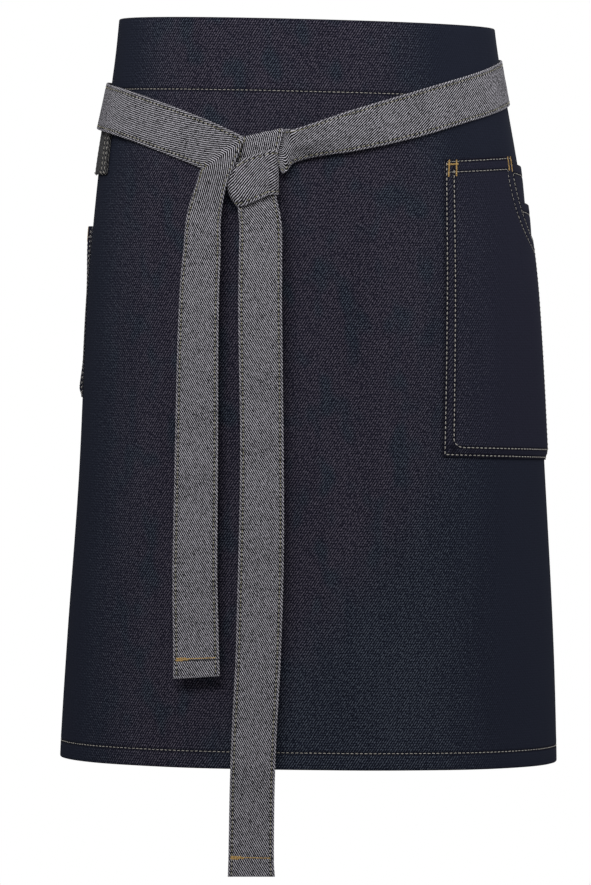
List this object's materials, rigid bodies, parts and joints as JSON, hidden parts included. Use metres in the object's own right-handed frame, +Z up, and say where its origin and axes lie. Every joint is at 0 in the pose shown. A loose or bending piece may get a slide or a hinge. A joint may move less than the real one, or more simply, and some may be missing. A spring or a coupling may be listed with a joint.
{
  "type": "waist apron",
  "caption": "Half apron of raw indigo denim in its worn form, with a layered tool pocket, a patch pocket, a side loop and long flat ties knotted in front.",
  "frame": {"origin": "middle of the waist opening, a little below the top edge, where the wearer's waist is", "axes": "+Z up along the wearer, -Y the way the wearer faces, +X to the right of a viewer who faces the apron"},
  "size_m": [0.4076, 0.2492, 0.6911],
  "materials": {
    "denim_face": "matt unwashed indigo twill",
    "denim_reverse": "matt twill with its pale weft side out",
    "thread": "twisted topstitching thread, khaki to golden"
  },
  "bodies": {
    "root": {"apron_panel": "denim_face", "tool_pocket_back": "denim_face", "tool_pocket_middle": "denim_face", "tool_pocket_front": "denim_face", "patch_pocket": "denim_face", "side_loop": "denim_reverse", "tie_left": "denim_reverse", "tie_right": "denim_reverse"}
  },
  "joints": []
}
